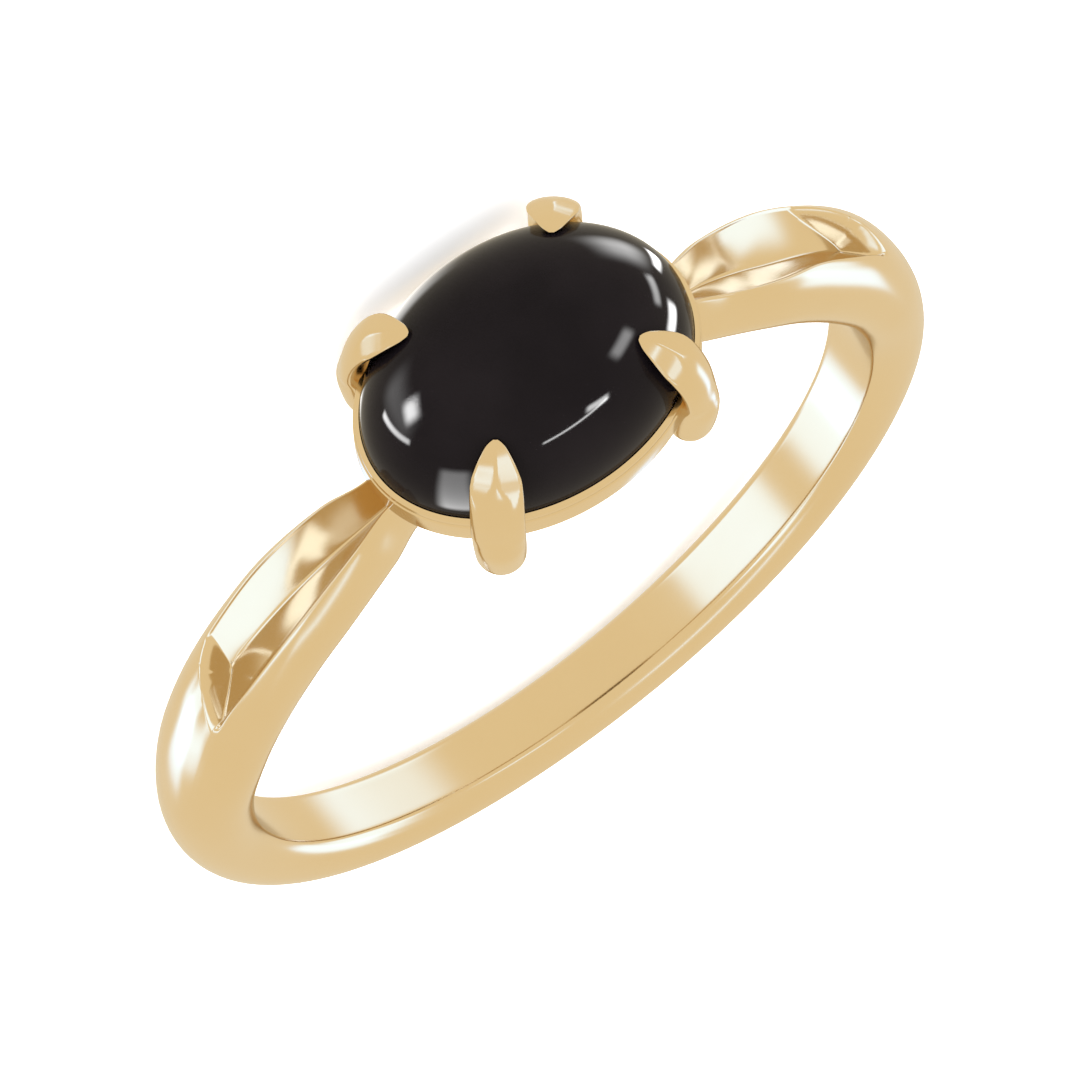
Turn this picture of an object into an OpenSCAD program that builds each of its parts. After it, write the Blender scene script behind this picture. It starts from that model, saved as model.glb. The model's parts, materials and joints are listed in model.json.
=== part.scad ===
// Ring with an oval cabochon: four claws hold a domed stone over an oval collet, on a band
// whose two shoulders each have a V-shaped groove that ends aslant.
//
// The ring is first built upright, with the finger along Y and the stone up at +Z, about the
// centre of the finger hole. rest() then lays it on its side, on its head and the band.

/* [Finger hole] */
// Diameter of the finger hole
finger_d = 17.3; // [15:0.1:21]

/* [Stone] */
// Length of the stone, across the finger
stone_l = 8; // [6.5:0.1:9.5]
// Width of the stone, along the finger
stone_w = 6; // [5:0.1:7]
// Height of the dome above the stone's widest line
dome_h = 3; // [2:0.1:3.6]
// Depth of the stone below its widest line
stone_foot = 0.42; // [0.3:0.02:0.6]
// Space between the stone and the metal round it
stone_gap = 0.04; // [0.02:0.01:0.08]

/* [Collet] */
// Height of the collet's wall
collet_h = 0.8; // [0.7:0.05:1.2]
// Thickness of the lip round the stone
lip_t = 0.2; // [0.15:0.01:0.4]
// Width of the ledge that the stone sits on
ledge_w = 0.55; // [0.4:0.05:0.9]
// Height of the collet's lower edge over the bridge of the band
collet_lift = 0.2; // [0.1:0.05:0.6]

/* [Band] */
// Thickness of the band where it bridges the head
bridge_t = 0.75; // [0.6:0.05:1]
// Width of the band where it meets the collet
neck_w = 1.2; // [1:0.05:1.6]
// Thickness of the shoulders, groove left out
shoulder_t = 2.55; // [2.3:0.05:3]
// Width of the band at its widest
shoulder_w = 2.64; // [2.2:0.02:3.4]
// Thickness of the band at the bottom
base_t = 1.63; // [1.2:0.01:2.2]
// Width of the band at the bottom
base_w = 1.8; // [1.4:0.05:2.4]

/* [Groove] */
// Length of the groove, along the middle of the shoulder
groove_l = 6.5; // [4.5:0.1:8]
// How much further the groove runs at the front of the shoulder than at the back
groove_slant = 4.1; // [2:0.1:5]
// Length over which the groove's end rises to the top of the band
groove_rise = 1.4; // [0.8:0.1:2]
// Metal left under the groove beside the collet
groove_floor_t = 0.8; // [0.6:0.02:1]
// Metal left under the groove at its far end
groove_end_t = 1.38; // [1:0.02:1.5]
// How far the bottom of the groove swings off the middle of the band
groove_swing = 0.13; // [0:0.01:0.3]
// Width of the bevel along the groove's edges
groove_bevel = 0.06; // [0.04:0.01:0.1]

/* [Claws] */
// Width of a claw, across its length
claw_w = 1.2; // [0.9:0.05:1.5]
// Thickness of a claw's foot, away from the stone
claw_t = 1.12; // [0.9:0.02:1.3]
// How far a claw's belly stands off the side of the stone
claw_stand = 0.85; // [0.7:0.05:1.1]
// Height of a claw's foot over the finger hole
claw_lift = 0.08; // [0.05:0.01:0.3]

/* [Hidden] */

finger_r = finger_d / 2;
rim_z = finger_r + bridge_t + collet_lift + collet_h;
collet_z = rim_z - collet_h;
seat_z = rim_z - stone_foot - stone_gap;
stone_a = stone_l / 2;
stone_b = stone_w / 2;
wall_out = stone_gap + lip_t;
collet_a = stone_a + wall_out;
collet_b = stone_b + wall_out;

// The shoulders meet the ends of the collet a little below its rim.
neck_drop = 0.2;
neck_top = norm([collet_a, rim_z - neck_drop]);
neck_angle = atan(collet_a / (rim_z - neck_drop));
neck_t = neck_top - finger_r;

// A place along the band is its way from the neck, at 0, to the bottom, at 1.
// Way, and thickness as a share between base_t at 0 and shoulder_t at 1
THICKNESS = [[0, 0.97], [0.045, 1], [0.11, 0.9], [0.17, 0.7], [0.235, 0.52], [0.31, 0.29],
    [0.415, 0.16], [0.555, 0.08], [0.745, 0.03], [1, 0]];
// Way, and width as a share between neck_w at 0 and shoulder_w at 1
NECK_WIDTH = [[0, 0], [0.045, 0.46], [0.11, 0.82], [0.17, 0.92], [0.235, 0.97], [0.31, 1]];
// Way, and width as a share between base_w at 0 and shoulder_w at 1
BAND_WIDTH = [[0.31, 1], [0.415, 0.67], [0.555, 0.31], [0.745, 0.12], [1, 0]];
// Way, and the inner face's share of the width
INNER_WIDTH = [[0, 0.84], [0.11, 0.77], [0.235, 0.77], [0.31, 0.7], [1, 0.68]];
// Way, and the height of the widest place as a share of the thickness
BELLY = [[0, 0.24], [0.11, 0.28], [0.235, 0.34], [0.415, 0.41], [0.745, 0.51], [1, 0.54]];
// Share of the neck's angle from the middle of the bridge, and rise from bridge_t to neck_t
NECK_RISE = [[0, 0], [0.78, 0.1], [1, 1]];
neck_bend = NECK_RISE[1][0] * neck_angle;
// Way, and the groove's edges as a share of half the width
CREST = [[0, 0.74], [0.065, 0.73], [0.14, 0.69], [0.19, 0.64], [0.25, 0.55]];
// Share of the groove's length, and share of the rise from groove_floor_t to groove_end_t
FLOOR = [[0, 0], [0.2, 0.15], [0.42, 0.5], [0.75, 0.85], [1, 1]];
// Share of the groove's length, and share of groove_swing
SWING = [[0, 0], [0.4, 0.3], [0.75, 0.8], [1, 1], [2, 0]];

// The foot and body of a claw: share of the height from its foot to the rim, how far its outer
// face stands out as a share of claw_stand, and its depth and width as shares of its full ones
CLAW_BODY = [[0, 0.3, 0.22, 0.25], [0.05, 0.62, 0.7, 0.7], [0.16, 0.77, 0.93, 0.92],
    [0.38, 0.86, 1, 0.97], [0.65, 0.95, 0.98, 0.99], [0.85, 0.98, 0.88, 1]];
// The talon over the stone: height on the dome as an angle, its gap to the stone and its outer
// face's distance from the stone as shares of claw_stand, its width, and how keeled it is
CLAW_TALON = [[0, 0.05, 1, 1, 0], [8, 0.1, 1.04, 1, 0], [16, 0.12, 1.05, 0.98, 0.1],
    [23, 0.12, 0.95, 0.9, 0.8], [30, 0.09, 0.74, 0.66, 1], [36, 0.07, 0.5, 0.42, 1],
    [42, 0.06, 0.24, 0.2, 1]];
claw_angle = 51;

// Numbers of steps along and round each faceted shape
wall_steps = 4;
crown_steps = 4;
claw_sides = 14;
claw_steps = 2;

function mix(a, b, s) = a + (b - a) * s;
function clamp(v, low, high) = min(high, max(low, v));
function ease(s) = let(c = clamp(s, 0, 1)) c * c * (3 - 2 * c);

// A smooth curve through the rows of a table, level at both its ends
function row_at(rows, x, i = 0) = i >= len(rows) - 2 || rows[i + 1][0] > x ? i : row_at(rows, x, i + 1);
function slope(rows, i) = i == 0 || i == len(rows) - 1 ? 0 :
    (rows[i + 1][1] - rows[i - 1][1]) / (rows[i + 1][0] - rows[i - 1][0]);
function curve(rows, x) =
    x <= rows[0][0] ? rows[0][1] :
    x >= rows[len(rows) - 1][0] ? rows[len(rows) - 1][1] :
    let(i = row_at(rows, x),
        run = rows[i + 1][0] - rows[i][0],
        s = (x - rows[i][0]) / run,
        s2 = s * s,
        s3 = s2 * s)
    (2 * s3 - 3 * s2 + 1) * rows[i][1] + (s3 - 2 * s2 + s) * run * slope(rows, i)
    + (3 * s2 - 2 * s3) * rows[i + 1][1] + (s3 - s2) * run * slope(rows, i + 1);

// Sizes of the band at an angle from the middle of the head, on either side
function way(a) = (a - neck_angle) / (180 - neck_angle);
function thickness(a) =
    a < neck_angle ? mix(bridge_t, neck_t, curve(NECK_RISE, a / neck_angle)) :
    mix(neck_t, mix(base_t, shoulder_t, curve(THICKNESS, way(a))), ease(way(a) / THICKNESS[1][0]));
function half_width(a) = way(a) < BAND_WIDTH[0][0]
    ? mix(neck_w, shoulder_w, curve(NECK_WIDTH, way(a))) / 2
    : mix(base_w, shoulder_w, curve(BAND_WIDTH, way(a))) / 2;
function inner_half(a) = half_width(a) * curve(INNER_WIDTH, way(a));
function belly_h(a) = thickness(a) * curve(BELLY, way(a));
function crown(a, y) = let(s = min(1, abs(y) / half_width(a)))
    belly_h(a) + (thickness(a) - belly_h(a)) * sqrt(1 - s * s);

// The groove is a V between its two edges. Its end crosses the band aslant, and rises to the crown.
groove_hollow = 1.1;
end_round = 2;
function arc_angle(l) = l / (finger_r + shoulder_t) * 180 / PI;
groove_angle = neck_angle + arc_angle(groove_l);
rise_w = shoulder_w * groove_rise / groove_slant;
function groove_share(a) = (a - neck_angle) / (groove_angle - neck_angle);
function floor_h(a) = mix(groove_floor_t, groove_end_t, curve(FLOOR, groove_share(a)));
function swing(a) = groove_swing * curve(SWING, groove_share(a));
function crest_y(a) = half_width(a) * curve(CREST, way(a));
function end_y(a) = shoulder_w * (groove_angle - a) / arc_angle(groove_slant);
function filled(a, y) = 1 - pow(1 - clamp((y - end_y(a)) / rise_w, 0, 1), end_round);
function groove_h(a, y, valley) =
    let(foot = crest_y(a) - groove_bevel,
        low = min(floor_h(a), crown(a, valley)),
        high = max(low, crown(a, crest_y(a)) - groove_bevel),
        rise = pow(abs(y - valley) / (y > valley ? foot - valley : foot + valley), groove_hollow))
    mix(min(mix(low, high, rise), crown(a, y)), crown(a, y), filled(a, y));

// Half of the band's section as [y, height over the finger hole], from inside the finger hole
// round to the edge of the groove
wall_start = 30;
inside_cut = 0.3;
function band_wall(a) = let(w = half_width(a), f = inner_half(a), h = belly_h(a))
    concat(
        [[f - inside_cut * (w - f) / h, -inside_cut]],
        [for (i = [1 : wall_steps - 1]) let(t = mix(wall_start, 90, i / wall_steps))
            [f + (w - f) * (sin(t) - sin(wall_start)) / (1 - sin(wall_start)),
             h * (cos(wall_start) - cos(t)) / cos(wall_start)]]);
function outer_half(a) = let(edge = acos(crest_y(a) / half_width(a)))
    concat(band_wall(a), [for (i = [0 : crown_steps]) let(t = edge * i / crown_steps)
        [half_width(a) * cos(t), belly_h(a) + (thickness(a) - belly_h(a)) * sin(t)]]);

// Places across the groove: its front edge, its valley, the foot of its end, and its back edge
least_gap = 0.04;
function groove_ys(a, valley) =
    let(foot = crest_y(a) - groove_bevel,
        end = clamp(end_y(a), 4 * least_gap - foot, foot - 2 * least_gap),
        low = clamp(valley, 2 * least_gap - foot, end - 2 * least_gap))
    [-foot, (low - foot) / 2, low, mix(low, end, 0.5), end, (end + foot) / 2, foot];

// The whole section, from the front edge over the crown to the back edge. The valley lies
// towards the back where turn is 1, and towards the front where it is -1.
function backward(list) = [for (i = [len(list) - 1 : -1 : 0]) list[i]];
function section(a, turn) = let(valley = turn * swing(a), half = outer_half(a))
    concat(
        [for (p = half) [-p[0], p[1]]],
        [for (y = groove_ys(a, valley)) [y, groove_h(a, y, valley)]],
        backward(half));
function around(a, p) = [(finger_r + p[1]) * sin(a), p[0], (finger_r + p[1]) * cos(a)];

// Faces of a tube of rings of points, closed on itself or by flat ends. A tube whose points run
// the other way round has its faces turned.
function tube_sides(rings, sides, closed) = [for (i = [0 : closed ? rings - 1 : rings - 2])
    for (j = [0 : sides - 1])
        let(a = i * sides + j, b = i * sides + (j + 1) % sides,
            c = (i + 1) % rings * sides + (j + 1) % sides, d = (i + 1) % rings * sides + j)
        for (t = [[a, c, b], [a, d, c]]) t];
function tube_ends(rings, sides) = [
    [for (j = [0 : sides - 1]) j],
    [for (j = [sides - 1 : -1 : 0]) (rings - 1) * sides + j]];
function turned(faces) = [for (f = faces) backward(f)];

// Angles of the band's sections over one half, closest together along the groove
function steps(from, to, count) = [for (i = [0 : count - 1]) mix(from, to, i / count)];
groove_stop = groove_angle + arc_angle(groove_slant / 2 + groove_rise);
HALF_ANGLES = concat(
    steps(0, neck_bend, 3),
    steps(neck_bend, neck_angle, 4),
    steps(neck_angle, groove_stop, 26),
    steps(groove_stop, 90, 6),
    steps(90, 180, 14));

// The finger hole's seam stays between two sections.
seam_angle = 1.3;
module shank() {
    sections = concat(
        [for (a = HALF_ANGLES) [a, section(a, -1)]],
        [[180, section(180, -1)]],
        [for (a = backward(HALF_ANGLES)) if (a > 0) [-a, section(a, 1)]]);
    sides = len(sections[0][1]);
    color("#e4c28b")
    difference() {
        polyhedron(
            [for (s = sections) for (p = s[1]) around(s[0], p)],
            turned(tube_sides(len(sections), sides, true)));
        rotate([90, seam_angle, 0]) cylinder(h = 2 * shoulder_w, r = finger_r, center = true, $fn = 180);
    }
}

oval_sides = 72;
module oval(a, b, h) {
    linear_extrude(h) polygon([for (i = [0 : oval_sides - 1])
        let(t = 360 * (i + 0.5) / oval_sides) [a * cos(t), b * sin(t)]]);
}

// The space that the stone drops into, which the collet and the claws leave free
module seat() {
    translate([0, 0, seat_z]) oval(stone_a + stone_gap, stone_b + stone_gap, collet_h);
}

module collet() {
    color("#e4c28b")
    difference() {
        translate([0, 0, collet_z]) oval(collet_a, collet_b, collet_h);
        translate([0, 0, collet_z - collet_h]) oval(stone_a - ledge_w, stone_b - ledge_w, 3 * collet_h);
        seat();
    }
}

// A claw stands in the upright plane that crosses the stone's outline squarely at claw_edge.
claw_edge = [stone_a * cos(claw_angle), stone_b * sin(claw_angle)];
claw_normal = [stone_b * cos(claw_angle), stone_a * sin(claw_angle)];
claw_out = claw_normal / norm(claw_normal);
dome_b = claw_out[0] * cos(claw_angle) / stone_a + claw_out[1] * sin(claw_angle) / stone_b;
dome_c = pow(claw_out[0] / stone_a, 2) + pow(claw_out[1] / stone_b, 2);
function dome_point(t) = [
    -(dome_b - sqrt(dome_b * dome_b - dome_c * sin(t) * sin(t))) / dome_c,
    rim_z + dome_h * sin(t)];
function dome_normal(t) = let(p = dome_point(t + 1) - dome_point(t - 1))
    t < 1 ? [1, 0] : [p[1], -p[0]] / norm(p);
foot_r = finger_r + claw_lift + claw_t / 2;
foot_z = sqrt(foot_r * foot_r - claw_edge[0] * claw_edge[0]) - claw_t / 2;

// Each row of a claw as [outer point, inner point, width, keel], a point being [out, up]
claw_rows = concat(
    [for (r = CLAW_BODY)
        let(z = mix(foot_z, rim_z, r[0]), out = claw_stand * r[1])
        [out, z, out - claw_t * r[2], z, claw_w * r[3], 0]],
    [for (r = CLAW_TALON)
        let(p = dome_point(r[0]), n = dome_normal(r[0]),
            outer = p + n * claw_stand * r[2], inner = p + n * max(stone_gap, claw_stand * r[1]))
        [outer[0], outer[1], inner[0], inner[1], claw_w * r[3], r[4]]]);
claw_last = len(claw_rows) - 1;

// The rows joined by a smooth curve
function claw_row(k) =
    let(i = min(claw_last - 1, floor(k)), s = k - i,
        a = claw_rows[max(0, i - 1)], b = claw_rows[i],
        c = claw_rows[i + 1], d = claw_rows[min(claw_last, i + 2)])
    0.5 * (2 * b + (c - a) * s + (2 * a - 5 * b + 4 * c - d) * s * s + (3 * b - a - 3 * c + d) * s * s * s);
function claw_ring(row) =
    let(outer = [row[0], row[1]], inner = [row[2], row[3]], half = (outer - inner) / 2)
    [for (j = [0 : claw_sides - 1])
        let(t = 360 * j / claw_sides,
            reach = cos(t) > 0 ? mix(cos(t), 1 - abs(sin(t)), row[5]) : cos(t),
            p = (outer + inner) / 2 + half * reach,
            across = row[4] / 2 * sin(t))
        [claw_edge[0] + claw_out[0] * p[0] - claw_out[1] * across,
         claw_edge[1] + claw_out[1] * p[0] + claw_out[0] * across,
         p[1]]];
claw_rings = [for (k = [0 : 1 / claw_steps : claw_last]) claw_ring(claw_row(k))];

module claw() {
    color("#e4c28b")
    polyhedron(
        [for (ring = claw_rings) for (p = ring) p],
        concat(tube_sides(len(claw_rings), claw_sides, false), tube_ends(len(claw_rings), claw_sides)));
}

// The stone: a flat foot, a side that leans out to the widest line, and a round dome
dome_steps = 12;
foot_share = 0.93;
function stone_ring(share, z) = [for (i = [0 : oval_sides - 1])
    let(t = 360 * (i + 0.5) / oval_sides) [stone_a * share * cos(t), stone_b * share * sin(t), z]];
stone_rings = concat(
    [stone_ring(foot_share, rim_z - stone_foot)],
    [for (i = [0 : dome_steps - 1]) let(t = 90 * i / dome_steps)
        stone_ring(cos(t), rim_z + dome_h * sin(t))]);
stone_top = len(stone_rings) * oval_sides;
module stone() {
    color("#262224")
    polyhedron(
        concat([for (ring = stone_rings) for (p = ring) p], [[0, 0, rim_z + dome_h]]),
        concat(
            tube_sides(len(stone_rings), oval_sides, false),
            [[for (i = [0 : oval_sides - 1]) i]],
            [for (i = [0 : oval_sides - 1])
                [stone_top, stone_top - oval_sides + (i + 1) % oval_sides, stone_top - oval_sides + i]]));
}

// The ring lies on the line that touches both the head and the bottom of the band.
head_points = concat(
    [for (ring = claw_rings) for (p = ring) [p[1], p[2]]],
    [[collet_b, collet_z]]);
base_points = [for (p = section(180, 1)) [p[0], -finger_r - p[1]]];
rest_tilt = min([for (b = base_points) max([for (p = head_points) atan((p[0] - b[0]) / (p[1] - b[1]))])]);
module rest() {
    rotate([-rest_tilt, 0, 0]) rotate([90, 180, 0]) children();
}

module mounting() {
    rest() {
        shank();
        collet();
        difference() {
            for (x = [0, 1], y = [0, 1]) mirror([x, 0, 0]) mirror([0, y, 0]) claw();
            seat();
        }
    }
}

module cabochon() {
    rest() stone();
}

mounting();
cabochon();
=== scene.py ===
"""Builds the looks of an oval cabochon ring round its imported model: mounting, stone and stage."""

import json
import math

import bmesh
import bpy
from mathutils import Matrix, Vector


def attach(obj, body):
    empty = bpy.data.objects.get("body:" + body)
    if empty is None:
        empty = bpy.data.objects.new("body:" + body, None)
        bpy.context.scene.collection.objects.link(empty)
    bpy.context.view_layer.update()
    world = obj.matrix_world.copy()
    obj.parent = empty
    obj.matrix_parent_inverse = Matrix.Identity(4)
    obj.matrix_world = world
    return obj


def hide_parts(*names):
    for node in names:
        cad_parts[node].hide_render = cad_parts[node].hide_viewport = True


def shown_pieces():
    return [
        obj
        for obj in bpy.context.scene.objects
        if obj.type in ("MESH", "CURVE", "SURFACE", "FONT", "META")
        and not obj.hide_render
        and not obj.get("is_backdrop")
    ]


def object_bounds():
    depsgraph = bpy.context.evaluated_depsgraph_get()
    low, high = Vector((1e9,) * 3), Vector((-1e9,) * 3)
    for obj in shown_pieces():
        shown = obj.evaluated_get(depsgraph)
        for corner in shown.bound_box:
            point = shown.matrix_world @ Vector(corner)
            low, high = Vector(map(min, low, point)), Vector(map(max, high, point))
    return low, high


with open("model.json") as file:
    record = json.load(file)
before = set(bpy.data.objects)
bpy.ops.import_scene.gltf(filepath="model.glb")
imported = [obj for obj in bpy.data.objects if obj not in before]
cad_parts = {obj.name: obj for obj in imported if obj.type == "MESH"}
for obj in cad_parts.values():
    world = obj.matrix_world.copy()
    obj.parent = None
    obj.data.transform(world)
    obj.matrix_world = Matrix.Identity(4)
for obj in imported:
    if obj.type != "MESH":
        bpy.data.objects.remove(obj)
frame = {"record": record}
CAD_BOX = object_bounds()

bl_info = {
    "name": "Cabochon Ring",
    "version": (1, 0, 0),
    "blender": (4, 5, 0),
    "location": "3D View > Sidebar > Ring",
    "description": "Builds a gold ring with an oval cabochon, its finishes and a pale stage",
    "category": "Add Mesh",
}

MM = 0.001
FINGER_BORE = next(m for m in frame["record"]["mounts"] if m["name"] == "finger_bore")
REST_TILT = math.atan2(FINGER_BORE["axis"][1], FINGER_BORE["axis"][2])

# The ring is worked out upright, finger along Y and stone up, and this lays it on its side
LAID = (
    Matrix.Rotation(-REST_TILT, 4, "X")
    @ Matrix.Rotation(math.pi, 4, "Y")
    @ Matrix.Rotation(math.pi / 2, 4, "X")
)

# The two shoulders and the two faces of the upright ring, as signs
LEFT, RIGHT = 1, -1
FRONT, BACK = -1, 1

# A place along the band is its way from the neck, at 0, to the bottom, at 1.
# Way, and thickness as a share between base_t at 0 and shoulder_t at 1
THICKNESS = [
    (0, 0.97), (0.045, 1), (0.11, 0.9), (0.17, 0.7), (0.235, 0.52), (0.31, 0.29),
    (0.415, 0.16), (0.555, 0.08), (0.745, 0.03), (1, 0),
]
# Way, and width as a share between neck_w at 0 and shoulder_w at 1
NECK_WIDTH = [(0, 0), (0.045, 0.46), (0.11, 0.82), (0.17, 0.92), (0.235, 0.97), (0.31, 1)]
# Way, and width as a share between base_w at 0 and shoulder_w at 1
BAND_WIDTH = [(0.31, 1), (0.415, 0.67), (0.555, 0.31), (0.745, 0.12), (1, 0)]
# Way, and the inner face's share of the width
INNER_WIDTH = [(0, 0.84), (0.11, 0.77), (0.235, 0.77), (0.31, 0.7), (1, 0.68)]
# Way, and the height of the widest place as a share of the thickness
BELLY = [(0, 0.24), (0.11, 0.28), (0.235, 0.34), (0.415, 0.41), (0.745, 0.51), (1, 0.54)]
# Share of the neck's angle from the middle of the bridge, and rise from bridge_t to neck_t
NECK_RISE = [(0, 0), (0.78, 0.1), (1, 1)]
# Way, and the groove's edges as a share of half the width
CREST = [(0, 0.74), (0.065, 0.73), (0.14, 0.69), (0.19, 0.64), (0.25, 0.55)]
# The same at the front of the right shoulder
CREST_WIDE = [(0, 0.84), (0.065, 0.84), (0.1, 0.8), (0.14, 0.7), (0.19, 0.64), (0.25, 0.55)]
# Share of the groove's length, and share of the rise from groove_floor_t to groove_end_t
FLOOR = [(0, 0), (0.2, 0.15), (0.42, 0.5), (0.75, 0.85), (1, 1)]
# Share of the groove's length, and share of groove_swing, towards the back on the left shoulder and
# towards the front on the right one
SWING = {
    LEFT: [(0, 0), (0.4, 0.3), (0.75, 0.8), (1, 1), (2, 0)],
    RIGHT: [
        (0, 0), (0.1, -0.7), (0.23, -1), (0.4, -0.3), (0.56, 0.5), (0.75, 0.8), (1, 1), (2, 0),
    ],
}
# Share of the slant of the groove's end that its back half keeps
BACK_SLANT = {LEFT: 0.6, RIGHT: 1.4}
# Share of the bevel's width that it has at the back
BACK_BEVEL = 0.4

# The foot and body of a claw: share of the height from its foot to the rim, how far its outer
# face stands out as a share of claw_stand, and its depth and width as shares of its full ones
CLAW_BODY = [
    (0, 0.3, 0.22, 0.25), (0.05, 0.62, 0.7, 0.7), (0.16, 0.77, 0.93, 0.92),
    (0.38, 0.87, 1, 0.97), (0.65, 0.93, 0.97, 0.99), (0.85, 0.87, 0.8, 1),
]
# The talon over the stone: height on the dome as an angle, its gap to the stone and its outer
# face's distance from the stone as shares of claw_stand, its width, and how keeled it is
CLAW_TALON = [
    (0, 0.05, 0.8, 1, 0), (8, 0.08, 0.74, 1, 0), (16, 0.09, 0.69, 1, 0),
    (23, 0.09, 0.64, 0.99, 0.15), (29, 0.08, 0.57, 0.93, 0.8), (34, 0.06, 0.47, 0.77, 1),
    (38, 0.05, 0.37, 0.6, 1), (42, 0.05, 0.24, 0.39, 1), (44, 0.05, 0.16, 0.22, 1),
    (45, 0.05, 0.1, 0.08, 1),
]


def length(name, text, size):
    """A size in millimetres as a property in metres."""
    return bpy.props.FloatProperty(
        name=name, description=text, default=size * MM, min=0, precision=5,
        unit="LENGTH", subtype="DISTANCE",
    )


def turn(name, text, degrees):
    """An angle in degrees as a property."""
    return bpy.props.FloatProperty(
        name=name, description=text, default=math.radians(degrees),
        unit="ROTATION", subtype="ANGLE",
    )


def share(name, text, value, high=1):
    """A plain number from 0 to high."""
    return bpy.props.FloatProperty(name=name, description=text, default=value, min=0, max=high)


def tint(name, text, colour):
    """A colour as a property."""
    return bpy.props.FloatVectorProperty(
        name=name, description=text, default=(*colour, 1), size=4, min=0, max=1,
        subtype="COLOR",
    )


class RingSizes(bpy.types.PropertyGroup):
    """Sizes of the dressed ring"""

    finger_d: length("Finger hole", "Diameter of the finger hole", 2 * FINGER_BORE["dims"]["r_mm"])
    stone_l: length("Stone length", "Length of the stone, across the finger", 8)
    stone_w: length("Stone width", "Width of the stone, along the finger", 6)
    dome_h: length("Dome height", "Height of the dome above the stone's widest line", 3)
    stone_foot: length("Stone foot", "Depth of the stone below its widest line", 0.42)
    stone_gap: length("Stone gap", "Space between the stone and the metal round it", 0.04)
    collet_h: length("Collet height", "Height of the collet's wall", 0.8)
    lip_t: length("Lip", "Thickness of the lip round the stone", 0.2)
    ledge_w: length("Ledge", "Width of the ledge that the stone sits on", 0.55)
    collet_lift: length("Collet lift", "Height of the collet's lower edge over the bridge", 0.2)
    bridge_t: length("Bridge", "Thickness of the band where it bridges the head", 0.75)
    neck_w: length("Neck width", "Width of the band where it meets the collet", 1.2)
    shoulder_t: length("Shoulder thickness", "Thickness of the shoulders, groove left out", 2.55)
    shoulder_w: length("Shoulder width", "Width of the band at its widest", 2.64)
    base_t: length("Base thickness", "Thickness of the band at the bottom", 1.63)
    base_w: length("Base width", "Width of the band at the bottom", 1.8)
    edge_r: length("Hole edge", "Width of the rounding along the edges of the finger hole", 0.1)
    groove_l: length("Groove length", "Length of the groove along the middle of the shoulder", 6.5)
    groove_slant: length("Groove slant", "How much further the groove runs at the front", 4.1)
    groove_rise: length("Groove rise", "Length over which the groove's end rises", 0.45)
    groove_floor_t: length("Groove floor", "Metal left under the groove beside the collet", 0.8)
    groove_end_t: length("Groove end", "Metal left under the groove at its far end", 1.38)
    groove_swing: length("Groove swing", "How far the groove's bottom swings off the middle", 0.13)
    groove_bevel: length("Groove bevel", "Width of the bevel along the groove's edges", 0.15)
    claw_w: length("Claw width", "Width of a claw, across its length", 1.2)
    claw_t: length("Claw thickness", "Thickness of a claw's foot, away from the stone", 1.12)
    claw_stand: length("Claw stand", "How far a claw's belly stands off the stone", 0.85)
    claw_lift: length("Claw lift", "Height of a claw's foot over the finger hole", 0.08)
    claw_angle: turn("Claw angle", "Place of a claw on the stone's outline", 50.8)
    claw_turn: turn("Claw turn", "How far a claw leans from square to the stone's outline", 6)


class RingFinish(bpy.types.PropertyGroup):
    """Colours and polish of the ring"""

    gold: tint("Gold", "Colour of the metal", (0.94, 0.75, 0.47))
    gold_shade: tint("Gold shade", "Colour of its cloudy patches", (0.93, 0.735, 0.45))
    gold_rough: share("Gold roughness", "How dull the metal's polish is", 0.16)
    stone: tint("Stone", "Colour of the stone", (0.0036, 0.0027, 0.0034))
    stone_vein: tint("Stone veins", "Colour of the stone's faint veins", (0.0055, 0.0042, 0.005))
    stone_rough: share("Stone roughness", "How dull the stone's polish is", 0.05)
    stone_gloss: share("Stone gloss", "How much the stone reflects where it is faced", 0.09)


class RingStage(bpy.types.PropertyGroup):
    """Camera, floor and lights"""

    azimuth: turn("Azimuth", "Way that the camera looks from, round the upright axis", 13.259)
    elevation: turn("Elevation", "Height of the camera over the floor", 25.693)
    roll: turn("Roll", "Turn of the camera about its own line of sight", 138.755)
    distance: length("Distance", "Distance of the camera from the finger hole's centre", 452.07)
    view_w: length("View width", "Width of what the camera sees at the finger hole", 24.126)
    floor: tint("Floor", "Colour of the floor", (0.9, 0.9, 0.9))
    floor_glow: share("Floor glow", "Strength of the light that comes up through the floor", 0.5)
    sky: tint("Surroundings", "Colour of the room's light", (1, 1, 1))
    sky_power: share("Surroundings power", "Strength of the room's light", 2.6, 10)
    mirrored: tint("Mirrored", "Colour of the room in reflections", (1, 0.9, 0.7))
    mirrored_power: share("Mirrored power", "Strength of the room in reflections", 0.78, 10)
    mirrored_deep: share("Mirrored twice", "Strength of the room in second reflections", 0.52, 10)
    daylight: tint("Daylight", "Colour of the lights that the metal reflects", (0.18, 0.45, 1))
    groove_light: tint("Groove light", "Colour of those that the grooves reflect", (0.27, 0.46, 1))
    lamp: tint("Lamp", "Colour of the lights that the stone reflects", (1, 1, 1))


def mix(a, b, part):
    """The value that lies a part of the way from a to b."""
    return a + (b - a) * part


def clamp(value, low, high):
    """The value, kept between low and high."""
    return min(high, max(low, value))


def ease(part):
    """A smooth step from 0 to 1."""
    c = clamp(part, 0, 1)
    return c * c * (3 - 2 * c)


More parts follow.
